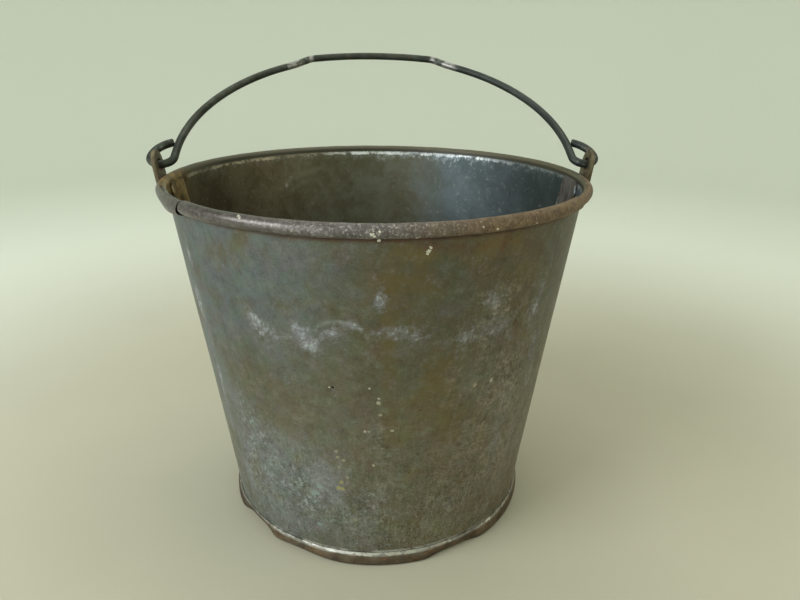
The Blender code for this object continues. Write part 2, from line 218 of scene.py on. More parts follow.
def foot_dent(azimuth, height):
    """How far the foot is pushed in, less and less up to the top of the dents."""
    share = max(0, 1 - height / DENT_TOP) ** DENT_FADE
    return share * sum(depth * near(azimuth, centre, half, flat)
                       for centre, half, depth, flat in FOOT_DENTS)


def rim_shift(azimuth):
    """How far the rim is out of round."""
    return RIM_SWAY * wobble(azimuth, 1.3, 7) * off_ears(azimuth, 20)


def wall_shift(azimuth, height):
    """Outward shift of the wall from dents, handling and an uneven rim."""
    sway = WALL_SWAY * wobble(azimuth, 1.8, height * 14) * in_zone(height, *WALL_SWAY_ZONE)
    rim = rim_shift(azimuth) * smooth_step(height, *RIM_SWAY_START)
    return sway * off_ears(azimuth) + rim - foot_dent(azimuth, height)


def wall_radius(height, roll_radius):
    """Radius of an unworn sheet's middle surface, for the sheet with this roll."""
    drop = RIM_HEIGHT - height
    return RIM_RADIUS - roll_radius / math.cos(WALL_LEAN) - drop * math.tan(WALL_LEAN)


# ---- mesh helpers

def new_object(name, data):
    """An object for a mesh, light or camera, in the scene."""
    obj = bpy.data.objects.new(name, data)
    bpy.context.scene.collection.objects.link(obj)
    return obj


def grid_object(name, points, closed_columns=False, closed_rows=False, skip=None):
    """A grid of quads. points[column][row]; skip(column, row) leaves a quad out."""
    columns, rows = len(points), len(points[0])
    vertices = [p for column in points for p in column]
    faces = []
    for c in range(columns if closed_columns else columns - 1):
        for r in range(rows if closed_rows else rows - 1):
            if skip and skip(c, r):
                continue
            c2, r2 = (c + 1) % columns, (r + 1) % rows
            faces.append((c * rows + r, c2 * rows + r, c2 * rows + r2, c * rows + r2))
    mesh = bpy.data.meshes.new(name)
    mesh.from_pydata(vertices, [], faces)
    return new_object(name, mesh)


def paint(obj, name, values):
    """A number for each vertex, for the material to read."""
    attribute = obj.data.attributes.new(name, "FLOAT", "POINT")
    attribute.data.foreach_set("value", values)


@contextmanager
def editing(obj):
    """An object's mesh open for editing, written back at the end."""
    work = bmesh.new()
    work.from_mesh(obj.data)
    yield work
    work.to_mesh(obj.data)
    work.free()


def rework(obj, weld=0):
    """Weld, drop loose points and turn faces outwards."""
    with editing(obj) as work:
        if weld:
            bmesh.ops.remove_doubles(work, verts=work.verts, dist=weld)
        loose = [v for v in work.verts if not v.link_faces]
        bmesh.ops.delete(work, geom=loose, context="VERTS")
        bmesh.ops.recalc_face_normals(work, faces=work.faces)


def fill(obj, *rings):
    """Close rings of vertices, given by their numbers, with a face each."""
    with editing(obj) as work:
        work.verts.ensure_lookup_table()
        for ring in rings:
            bmesh.ops.contextual_create(work, geom=[work.verts[number] for number in ring])


def disc_object(name, points):
    """A closed surface of revolution whose first row is filled in."""
    disc = grid_object(name, points, closed_columns=True)
    rows = len(points[0])
    fill(disc, range(0, rows * len(points), rows))
    return disc


def bake(obj):
    """Apply the modifiers."""
    bpy.context.view_layer.update()
    depsgraph = bpy.context.evaluated_depsgraph_get()
    mesh = bpy.data.meshes.new_from_object(obj.evaluated_get(depsgraph))
    obj.modifiers.clear()
    obj.data = mesh


def thicken(obj, thickness):
    """Give an open sheet its thickness, half to each side."""
    shell = obj.modifiers.new("sheet", "SOLIDIFY")
    shell.thickness = thickness
    shell.offset = 0
    shell.use_even_offset = True
    bake(obj)


def round_edges(obj, width, segments):
    """Round the hard edges."""
    bevel = obj.modifiers.new("edges", "BEVEL")
    bevel.width = width
    bevel.segments = segments
    bevel.limit_method = "ANGLE"
    bevel.angle_limit = math.radians(30)
    bake(obj)


def dress(obj, material, angle, body="pail"):
    """Shade a piece, creased above an angle in degrees, and make it stand for its node."""
    obj.data.shade_smooth()
    obj.data.set_sharp_from_angle(angle=math.radians(angle))
    obj.data.materials.clear()
    obj.data.materials.append(material)
    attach(obj, body)
    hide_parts(obj.name.removesuffix("_look"))


def spread(start, end, step):
    """Even values from start to end, about a step apart."""
    count = max(1, round((end - start) / step))
    return [start + (end - start) * i / count for i in range(count + 1)]


def full_turn(step):
    """Azimuths all the way around, a step apart."""
    return spread(0, 360, step)[:-1]


# ---- wall

def roll_radius_at(azimuth, angle, roll_radius):
    """Roll radius with hammer flats, ripples and the loosened end. The angle is in degrees."""
    spot = around(azimuth, RIM_RADIUS * 60, angle * 0.012)
    ripple = sum(size * noise.noise(spot * fineness) for fineness, size in RIPPLES)
    sag = 0
    if roll_radius == BACK_ROLL_R and azimuth < SEAM_LEFT + 360 - JOINT_WIDTH / 2:
        sag = LOOSE_SAG * near(azimuth, LOOSE_END, LOOSE_HALF) * smooth_step(angle, *LOOSE_UNDER)
        sag += SWELL * near(azimuth, SWELL_AT, SWELL_HALF) * smooth_step(angle, *SWELL_UNDER)
    return roll_radius + ROLL_RIPPLE * ripple * off_ears(azimuth, 8) + sag


def step_out(azimuth, height, roll_radius):
    """How far the front sheet is set out between the laps, flush with the back sheet."""
    if roll_radius == BACK_ROLL_R:
        return 0
    from_left = smooth_step(azimuth, SEAM_LEFT + LAP + STEP_START, SEAM_LEFT + LAP + STEP_END)
    from_right = smooth_step(azimuth, SEAM_RIGHT - LAP - STEP_START, SEAM_RIGHT - LAP - STEP_END)
    return STEP_OUT * from_left * from_right * (1 - smooth_step(height, *STEP_TOP))


def wall_column(azimuth, roll_radius):
    """Middle line of a wall sheet at one azimuth: the roll from its free edge, then the wall."""
    tangent = 180 - math.degrees(WALL_LEAN)
    column = []
    for angle in spread(tangent - ROLL_TURN, tangent, ROLL_TURN / ROLL_ROWS):
        ease = smooth_step(angle, tangent, tangent - ROLL_EASE)
        worn = roll_radius_at(azimuth, angle, roll_radius)
        radius = roll_radius + (worn - roll_radius) * ease
        r = RIM_RADIUS + rim_shift(azimuth) + radius * math.cos(math.radians(angle))
        column.append(around(azimuth, r, RIM_HEIGHT + radius * math.sin(math.radians(angle))))
    top = column[-1].z
    for share in spread(0, 1, 1 / WALL_ROWS)[1:]:
        z = top + (WALL_BOTTOM - top) * share
        shift = wall_shift(azimuth, z) + step_out(azimuth, z, roll_radius)
        column.append(around(azimuth, wall_radius(z, roll_radius) + shift, z))
    return column


# Marks on the wall: azimuth, height, half width in degrees, half height, strength
BLOOM_MARKS = (
    (-123.6, 0.19, 1.9, 0.004, 1), (-120, 0.183, 4.6, 0.007, 0.62),
    (-111.4, 0.188, 1.7, 0.005, 0.75), (-108.4, 0.181, 2.6, 0.008, 1),
    (-103.5, 0.188, 2.4, 0.003, 0.7), (-98, 0.194, 2.8, 0.004, 0.55),
    (-91.3, 0.2105, 1.5, 0.006, 1), (-88, 0.19, 6, 0.006, 0.5),
    (-80, 0.184, 5, 0.006, 0.35), (-69, 0.181, 4, 0.005, 0.55),
    (-60, 0.184, 5, 0.008, 0.5), (-62, 0.203, 4, 0.009, 0.45),
    (-46, 0.184, 3.4, 0.012, 0.6), (-44, 0.202, 3, 0.01, 0.4),
    (-109, 0.076, 6, 0.012, 0.8), (-113, 0.028, 9, 0.01, 0.45),
    (-106, 0.062, 5, 0.01, 0.5), (-131, 0.086, 4, 0.016, 0.5),
    # The marks near -150 lie along the wall's left edge as the camera sees it: partly bloom, partly
    # a painted reflection along that edge.
    (-143, 0.05, 3.5, 0.017, 0.9), (-149.5, 0.218, 1.8, 0.01, 0.9),
    (-151.5, 0.184, 2.4, 0.013, 1), (-149, 0.12, 2.2, 0.05, 0.75),
    (-52, 0.1, 5, 0.04, 0.4), (-40, 0.12, 4, 0.06, 0.35),
    (60, 0.188, 8, 0.01, 0.8), (105, 0.182, 10, 0.011, 0.8),
    (150, 0.19, 7, 0.01, 0.7), (80, 0.07, 9, 0.018, 0.7),
)
RUST_MARKS = (
    (-80, 0.243, 6, 0.005, 0.7), (-73, 0.239, 6, 0.006, 0.7),
    (-62, 0.243, 9, 0.006, 0.7), (-46, 0.241, 8, 0.006, 0.5),
    (-53.4, 0.184, 1.5, 0.006, 1), (-83, 0.184, 1.4, 0.004, 0.5),
    (-62, 0.234, 1.4, 0.008, 0.7), (-57, 0.229, 1.2, 0.005, 0.6),
    (30, 0.236, 10, 0.01, 0.6), (70, 0.12, 3, 0.012, 0.5),
    (112, 0.238, 12, 0.009, 0.7), (145, 0.06, 4, 0.014, 0.6),
)
STAIN_MARKS = (
    (-80, 0.24, 10, 0.007, 1), (-62, 0.238, 11, 0.009, 1),
    (-89, 0.15, 2, 0.07, 0.6), (-101, 0.165, 7, 0.016, 0.35),
    (-76, 0.158, 7, 0.02, 0.9), (-86, 0.215, 10, 0.02, 0.9),
    (-68, 0.112, 7, 0.022, 0.8), (-118, 0.125, 8, 0.016, 0.6),
    (-98, 0.1, 8, 0.018, 0.5), (-58, 0.222, 8, 0.012, 0.6),
    (-128, 0.232, 10, 0.01, 0.35), (95, 0.14, 8, 0.05, 0.6),
    (40, 0.11, 7, 0.04, 0.5),
)
SPECKLE_MARKS = (
    (-61, 0.193, 9, 0.02, 1), (-55, 0.14, 9, 0.04, 1),
    (-70, 0.15, 5, 0.02, 0.6), (-66, 0.085, 10, 0.035, 0.8),
    (-48, 0.07, 10, 0.045, 1), (-92, 0.05, 14, 0.03, 0.8),
    (-118, 0.06, 12, 0.035, 1), (-133, 0.095, 6, 0.04, 0.8),
    (-91, 0.105, 3, 0.02, 0.8), (-140, 0.05, 8, 0.03, 1),
    (45, 0.11, 30, 0.06, 0.8), (130, 0.09, 35, 0.05, 0.9),
)
WALL_PAINT = {"bloom": BLOOM_MARKS, "rust": RUST_MARKS, "stain": STAIN_MARKS,
              "speckle": SPECKLE_MARKS}


def marks_at(azimuth, height, marks):
    """Strength of a list of marks at one place, at most 1."""
    total = 0.0
    for centre, middle, half_width, half_height, strength in marks:
        rise = near_value(height, middle, half_height)
        total += strength * near(azimuth, centre, half_width) * rise
    return min(1.0, total)


def wall_sheet(node, roll_radius, azimuths, material, open_joint=None):
    """One wall sheet with its rolled edge, worn and painted with its marks."""
    points = [wall_column(a, roll_radius) for a in azimuths]
    inner = RIM_RADIUS - BACK_ROLL_R + SHEET

    def skip(c, r):
        middle = sum(azimuths[c:c + 2]) / 2
        if not open_joint or not open_joint[0] < middle < open_joint[1]:
            return False
        return r < ROLL_ROWS and points[c][r].xy.length > inner

    sheet = grid_object(f"{node}_look", points, skip=skip)
    on_roll = [1.0 if r <= ROLL_ROWS - 2 else 0.0 for r in range(len(points[0]))]
    paint(sheet, "roll", on_roll * len(azimuths))
    for label, marks in WALL_PAINT.items():
        values = [marks_at(a, p.z, marks) for a, column in zip(azimuths, points) for p in column]
        paint(sheet, label, values)
    rework(sheet)
    thicken(sheet, SHEET)
    dress(sheet, material, 50)


def front_azimuths():
    """Columns of the front sheet, close together where it steps out beside the laps."""
    left, right = SEAM_LEFT + LAP, SEAM_RIGHT - LAP
    return [*spread(SEAM_LEFT, left + STEP_START, 1),
            *spread(left + STEP_END, right - STEP_END, 1),
            *spread(right - STEP_START, SEAM_RIGHT, 1)]


def make_wall(material):
    """Front and back wall sheets, the back one with the open joint in its roll."""
    wall_sheet("body_front", FRONT_ROLL_R, front_azimuths(), material)
    end = SEAM_LEFT + 360
    joint = (end - JOINT_WIDTH, end)
    columns = [*spread(SEAM_RIGHT - LAP, joint[0], 1), *spread(end, end + LAP, 1)]
    wall_sheet("body_back", BACK_ROLL_R, columns, material, joint)


def make_rim_wire(material):
    """The wire inside the roll, as uneven as the rim."""
    points = []
    for azimuth in full_turn(1.5):
        middle = RIM_RADIUS + rim_shift(azimuth)
        ring = []
        for turn in spread(0, 2 * math.pi, math.pi / 8)[:-1]:
            z = RIM_HEIGHT + RIM_WIRE_R * math.sin(turn)
            ring.append(around(azimuth, middle + RIM_WIRE_R * math.cos(turn), z))
        points.append(ring)
    wire = grid_object("rim_wire_look", points, closed_columns=True, closed_rows=True)
    rework(wire)
    dress(wire, material, 180)


# ---- foot and bottom

def foot_outline():
    """Closed outline of the foot band in section, its top edge and its flange rounded."""
    half = FOOT_BAND / 2
    top_r = wall_radius(FOOT_TOP, BACK_ROLL_R) + SHEET / 2 + FOOT_CLEAR + half
    side_r = FOOT_OUTER - half
    spots = [
        (top_r, FOOT_TOP - half),
        (top_r + FOOT_NECK[0], FOOT_TOP - FOOT_NECK[1]),
        (side_r - FOOT_SHOULDER[0], FOOT_TOP - FOOT_SHOULDER[1]),
        *((side_r - inward, height) for inward, height in FOOT_CORNER),
        (side_r - FOOT_FLANGE, half),
    ]
    centre_line = [Vector(spot) for spot in spots]
    outer, inner = [], []
    for i, p in enumerate(centre_line):
        before = centre_line[max(0, i - 1)]
        after = centre_line[min(len(centre_line) - 1, i + 1)]
        along = (after - before).normalized()
        side = Vector((-along.y, along.x)) * half
        outer.append(p + side)
        inner.append(p - side)
    first, last = centre_line[0], centre_line[-1]
    cap = [first + half * Vector((-math.cos(t), math.sin(t))) for t in (0.6, 1.2, 1.9, 2.5)]
    end = [last + half * Vector((-math.sin(t), math.cos(t))) for t in (0.8, 1.57, 2.34)]
    return cap + outer + end + inner[::-1]


def make_foot_band(material):
    """The band around the foot, bashed in where the pail has been set down hard."""
    outline = foot_outline()
    points, bare, low = [], [], []
    for azimuth in full_turn(1):
        worn = FOOT_LEAST_WEAR_AND_HIGHLIGHT + (1 - FOOT_LEAST_WEAR_AND_HIGHLIGHT) * near(azimuth, *FOOT_WEAR_AND_HIGHLIGHT)
        lift = FOOT_LIFT * wobble(azimuth, 3, 3)
        column = []
        for r, z in outline:
            wave = FOOT_WAVE * wobble(azimuth, 4, z * 60) * in_zone(z, *FOOT_WAVE_ZONE)
            lifted = z + lift * smooth_step(z, *FOOT_LIFT_START)
            column.append(around(azimuth, r - foot_dent(azimuth, z) + wave, lifted))
            bare.append(smooth_step(z, *FOOT_EDGE) * worn)
            low.append(1 - smooth_step(z, 0, FOOT_DARK_TOP))
        points.append(column)
    band = grid_object("foot_band_look", points, closed_columns=True, closed_rows=True)
    paint(band, "bare", bare)
    paint(band, "low", low)
    rework(band)
    dress(band, material, 60)


def bottom_profile():
    """Radius and height from the middle of the bottom disc to the foot of its skirt."""
    middle = [(r, BOTTOM_RAISE) for r in spread(0.0004, BOTTOM_RAISED_R, 0.005)]
    flat = [(r, 0) for r in spread(*BOTTOM_FLAT_R, 0.0026)]
    rises = [*middle, *BOTTOM_SLOPE, *flat, *BOTTOM_CORNER]
    skirt = [(SKIRT_R, height) for height in SKIRT_HEIGHTS]
    return [(r, BOTTOM_HEIGHT + rise) for r, rise in rises] + skirt


def make_bottom(material):
    """Bottom disc with a raised middle, slightly sagged and dinged by use."""
    points = []
    for azimuth in full_turn(2):
        column = []
        for r, z in bottom_profile():
            dent = foot_dent(azimuth, z) * smooth_step(r, *BOTTOM_DENT_R)
            ding = BOTTOM_DING * wobble(azimuth, r * 28, 2) * smooth_step(r, *BOTTOM_DING_R)
            column.append(around(azimuth, r - dent, z + ding))
        points.append(column)
    disc = disc_object("bottom_disc_look", points)
    rework(disc)
    thicken(disc, SHEET)
    dress(disc, material, 40)


# ---- ears, plates and rivets

def softened_copy(node, edge, segments, material):
    """A piece for a CAD node: a copy of its mesh with the hard edges rounded."""
    obj = new_object(f"{node}_look", frame["nodes"][node].data.copy())
    with editing(obj) as work:
        bmesh.ops.remove_doubles(work, verts=work.verts, dist=1e-6)
        bmesh.ops.dissolve_limit(work, angle_limit=math.radians(1.5), verts=work.verts,
                                 edges=work.edges)
    round_edges(obj, edge, segments)
    dress(obj, material, 30)


def make_fittings(ear_look, plate_look):
    """Ear straps and backing plates, with worn edges."""
    for side in ("left", "right"):
        softened_copy(f"ear_{side}", EAR_EDGE, 3, ear_look)
        softened_copy(f"backing_plate_{side}", PLATE_EDGE, 2, plate_look)


def rivet_profile():
    """Radius and height along the wall's normal, from the head's top to the tail's."""
    head = SHEET / 2 + GAP + EAR_THICK + GAP
    tail = -(SHEET / 2 + GAP + PLATE_THICK + GAP)
    turns = spread(0, math.pi / 2, math.pi / 16)
    spots = [(RIVET_HEAD_R * math.sin(t), head + RIVET_HEAD_RISE * math.cos(t)) for t in turns]
    spots += [(RIVET_SHANK_R, head), (RIVET_SHANK_R, tail)]
    spots += [(RIVET_TAIL_R * math.sin(t), tail - RIVET_TAIL_RISE * math.cos(t))
              for t in turns[::-1]]
    return spots


def make_rivet(node, azimuth, material):
    """One rivet with hammered, slightly uneven heads."""
    low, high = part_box(node)
    height = (low.z + high.z) / 2
    spot = Matrix.Translation((wall_radius(height, BACK_ROLL_R), 0, height))
    tilt = Matrix.Rotation(math.pi / 2 + WALL_LEAN, 4, "Y")
    place = Matrix.Rotation(math.radians(azimuth), 4, "Z") @ spot @ tilt
    points = []
    for turn in full_turn(11.25):
        column = []
        for r, z in rivet_profile():
            p = around(turn, r, z)
            beat = noise.noise(p * 420 + Vector((azimuth, height * 900, 0)))
            swell = smooth_step(r, RIVET_SHANK_R, RIVET_TAIL_R)
            p.z += RIVET_BEAT * beat * math.copysign(1, z) * (1 - swell * 0.8)
            p.x *= 1 + RIVET_SQUASH * beat * swell
            column.append(place @ p)
        points.append(column)
    rivet = grid_object(f"{node}_look", points, closed_columns=True)
    rework(rivet, 1e-5)
    dress(rivet, material, 45)


def make_rivets(material):
    """An upper and a lower rivet through each ear."""
    for side, azimuth in EARS.items():
        for row in ("upper", "lower"):
            make_rivet(f"rivet_{side}_{row}", azimuth, material)


# ---- bail

def arc(centre, radius, start, end, steps):
    """Points along an arc in a plane, from one angle to another."""
    return [centre + radius * Vector((math.cos(a), math.sin(a)))
            for a in spread(start, end, (end - start) / steps)]


def bend(before, corner, after):
    """Points of a short rounded bend that replaces a sharp corner."""
    start = corner + (before - corner).normalized() * CORNER_REACH
    end = corner + (after - corner).normalized() * CORNER_REACH
    return [start * (1 - t) ** 2 + corner * 2 * t * (1 - t) + end * t * t
            for t in spread(0, 1, 0.125)]


def bail_half_path():
    """The right half of the bail in its own plane, from the cut end to the grip's middle."""
    hook = Vector((HOOP_RADIUS + HOOK_R, HOOK_RISE))
    back = Vector((hook.x + HOOK_R - HOOK_RETURN_R, HOOK_RISE))
    leg = arc(back, HOOK_RETURN_R, HOOK_RETURN_TURN, 0, 14)
    leg += arc(hook, HOOK_R, 0, -math.pi, 28)[1:]
    hoop = Vector((0, HOOP_RISE))
    leg += arc(hoop, HOOP_RADIUS, 0, math.acos(HOOP_END_X / HOOP_RADIUS), 48)
    middle = Vector((0, GRIP_RISE - GRIP_ARCH_R))
    start = math.acos(GRIP_HALF / GRIP_ARCH_R)
    grip = arc(middle, GRIP_ARCH_R, start, math.pi / 2, 16)
    lower_bend = bend(leg[-2], leg[-1], grip[0])
    upper_bend = bend(leg[-1], grip[0], grip[1])
    return leg[:-2] + lower_bend + upper_bend + grip[2:]


def bail_rings():
    """Middle, sideways direction and radius of each ring of the wire, its cut ends chamfered."""
    half = bail_half_path()
    path = half + [Vector((-p.x, p.y)) for p in half[-2::-1]]
    rings = []
    for i, p in enumerate(path):
        along = (path[min(i + 1, len(path) - 1)] - path[max(i - 1, 0)]).normalized()
        rings.append((p, Vector((-along.y, along.x)), BAIL_WIRE_R))
    tips = []
    for end, beyond in ((0, -BAIL_CHAMFER), (-1, BAIL_CHAMFER)):
        p, sideways, _ = rings[end]
        along = Vector((sideways.y, -sideways.x))
        tips.append((p + along * beyond, sideways, BAIL_WIRE_R - BAIL_CHAMFER))
    return [tips[0], *rings, tips[1]]


def make_bail(material):
    """One bent wire with two hooks, slightly uneven, its cut ends dressed."""
    place = Matrix.Translation(HINGE) @ Matrix.Rotation(-BAIL_REST_LEAN, 4, "X")
    points, worn = [], []
    rings = bail_rings()
    before, travelled = rings[0][0], 0
    for p, sideways, radius in rings:
        travelled += (p - before).length
        before = p
        kink = max(near_value(abs(p.x), x, half_width) for x, half_width in KINKS)
        hook = smooth_step(abs(p.x), *HOOK_START)
        ring = []
        for turn in full_turn(360 / BAIL_SIDES):
            across, up, _ = around(turn)
            uneven = noise.noise(Vector((travelled * 55, across * 0.8, up * 0.8)))
            reach = radius + BAIL_UNEVEN * uneven
            offset = sideways * reach * across
            ring.append(place @ Vector((p.x + offset.x, reach * up, p.y + offset.y)))
            worn.append(max(KINK_WORN * kink, HOOK_WORN * hook))
        points.append(ring)
    bail = grid_object("bail_look", points, closed_rows=True)
    paint(bail, "worn", worn)
    last = (len(points) - 1) * BAIL_SIDES
    fill(bail, range(BAIL_SIDES), range(last, last + BAIL_SIDES))
    rework(bail)
    dress(bail, material, 40, "bail")


# ---- materials

# Linear colours. A pair runs from dark to light, or from left to right where its use says so.
RUST_DARK_AND_SHADE = (0.045, 0.022, 0.01)
RUST_BROWN = (0.115, 0.055, 0.022)
RUST_OCHRE = (0.26, 0.145, 0.035)
TIN_OLIVE = (0.172, 0.162, 0.11)
TIN_BLUE_AND_REFLECTION = (0.202, 0.235, 0.248)
TIN_BROWN_LIT = (0.17, 0.132, 0.078)
TIN_YELLOW = (0.195, 0.168, 0.072)
TIN_GREY = (0.17, 0.16, 0.155)
TIN_PALE = (0.34, 0.35, 0.315)
TIN_SHADE = (0.072, 0.064, 0.042)
OXIDE = (0.46, 0.51, 0.54)
LAVENDER = (0.27, 0.27, 0.31)
TAN = (0.34, 0.295, 0.225)
CHIP = (0.6, 0.58, 0.47)
FLECK = (0.36, 0.34, 0.25)
FLECK_PALE = (0.48, 0.46, 0.37)
FLECK_YELLOW = (0.42, 0.39, 0.21)
FLECK_BLUE = (0.32, 0.39, 0.4)
PIN_HOLE = (0.006, 0.005, 0.004)
DRIP_STAIN = (0.165, 0.118, 0.045)
FOOT_SEAM_HIGHLIGHT = (0.7, 0.7, 0.66)
INSIDE_LEFT_SHADE = ((0.08, 0.065, 0.036), (0.13, 0.11, 0.068))
INSIDE_MIDDLE = ((0.13, 0.12, 0.075), (0.185, 0.185, 0.135))
INSIDE_RIGHT_REFLECTION = ((0.062, 0.08, 0.082), (0.09, 0.112, 0.12))
CREASE_LINE = ((0.62, 0.55, 0.4), (0.92, 0.94, 0.94))
UNDER_ROLL = (0.085, 0.076, 0.044)
GROOVE_SHADOW = (0.02, 0.018, 0.01)
ROLL = ((0.068, 0.057, 0.052), (0.13, 0.116, 0.111))
ROLL_PALE = (0.44, 0.4, 0.34)
ROLL_PIT = (0.065, 0.048, 0.034)
ROLL_BROWN = ((0.09, 0.054, 0.025), (0.185, 0.126, 0.068))
ROLL_OCHRE = (0.235, 0.165, 0.07)
ROLL_GRIT = (0.4, 0.33, 0.24)
ROLL_BEHIND = ((0.05, 0.042, 0.022), (0.105, 0.095, 0.058))
WET_RUST = ((0.095, 0.054, 0.014), (0.3, 0.205, 0.07))
BOTTOM_TIN = ((0.08, 0.074, 0.05), (0.125, 0.13, 0.112))
BAND_STEEL = ((0.065, 0.048, 0.028), (0.135, 0.106, 0.066))
BAND_RUST = ((0.066, 0.038, 0.018), (0.165, 0.096, 0.044))
BAND_EDGE_HIGHLIGHT = (0.33, 0.33, 0.29)
BAND_BARE_HIGHLIGHT = (0.62, 0.6, 0.55)
BAND_FOOT_DARK = (0.02, 0.014, 0.01)
FORGED = ((0.075, 0.058, 0.03), (0.18, 0.155, 0.095))
PLATE_LEFT = ((0.05, 0.03, 0.01), (0.24, 0.165, 0.06))
PLATE_RIGHT = ((0.06, 0.05, 0.04), (0.135, 0.125, 0.12))
PLATE_RUBBED_HIGHLIGHT = ((0.46, 0.38, 0.24), (0.62, 0.68, 0.72))
WIRE_SKIN = ((0.026, 0.031, 0.023), (0.066, 0.074, 0.058))
WIRE_BLUE = (0.036, 0.044, 0.046)
WIRE_WORN = (0.34, 0.33, 0.31)
FLOOR_NEAR = ((0.425, 0.405, 0.31), (0.45, 0.43, 0.33))
FLOOR_FAR = (0.71, 0.74, 0.65)

# Inside, where the wall turns into the roll: heights of the bright line and of the groove's painted
# shadow
CREASE = 0.2498
CREASE_TOP = (0.251, 0.2505)
CREASE_THICK = 0.0018
ABOVE_CREASE = (0.2508, 0.2518)
GROOVE_BOTTOM = (0.251, 0.2517)
GROOVE_TOP = (0.254, 0.2532)

# Wet rust on the left plate: its middle, and how far off it begins and is full
WET_CENTRE = (-RIM_RADIUS + 0.005, -0.014, RIM_HEIGHT)
WET_REACH = (0.05, 0.026)

# A ring in the bloom, a faint painted highlight outside a dark painted shadow line: height, radius,
# width, colour, strength
RING_AZIMUTH = -101
RING_HIGHLIGHT_AND_SHADOW = ((0.179, 0.0178, 0.002, OXIDE, 0.2), (0.178, 0.0155, 0.0016, TIN_SHADE, 0.4))

# Sockets of a colour mix node: share and two colours in, one colour out
MIX_INPUTS = (0, 6, 7)
MIX_OUTPUT = 2

# Specks on the wall by colour: azimuth, height, radius
WALL_SPECKS = {
    CHIP: (
        (-80.3, 0.2415, 0.0011), (-80.6, 0.2395, 0.0012), (-80.9, 0.2378, 0.0009),
        (-91.4, 0.2465, 0.001), (-104.4, 0.15, 0.0007), (-93.8, 0.1506, 0.0009),
    ),
    PIN_HOLE: ((-103.4, 0.1502, 0.0009),),
    FLECK_PALE: (
        (-91.4, 0.143, 0.0011), (-91.4, 0.14, 0.0015), (-95.3, 0.1178, 0.0011),
        (-87.7, 0.1183, 0.0013), (-93.1, 0.0904, 0.001), (-58.6, 0.1437, 0.0014),
    ),
    FLECK: (
        (-91, 0.1308, 0.0013), (-94.3, 0.1177, 0.0011), (-103.9, 0.1002, 0.0014),
        (-103.6, 0.0953, 0.0013), (-101.8, 0.0933, 0.0015), (-103.4, 0.0874, 0.0013),
        (-100.9, 0.0789, 0.0014), (-99.2, 0.0411, 0.0017), (-64.3, 0.144, 0.0014),
    ),
    FLECK_YELLOW: (
        (-103, 0.0742, 0.0017), (-103.9, 0.069, 0.0022), (-102.8, 0.0686, 0.0018),
    ),
    FLECK_BLUE: (
        (-110.2, 0.0676, 0.0025), (-112.4, 0.0605, 0.0025), (-111.3, 0.0612, 0.002),
        (-111.8, 0.0325, 0.002),
    ),
}
# Chips on the front roll: azimuth, turn around the roll, radius
ROLL_CHIPS = (
    (-121.5, 62, 0.0011), (-120.9, 48, 0.0009), (-92.7, -12, 0.0012),
    (-92.3, -28, 0.0009), (-91.2, 10, 0.0007), (-83.8, -52, 0.0009),
    (-66.5, -25, 0.0008), (-70, 5, 0.0006), (-55.5, -35, 0.0007),
)


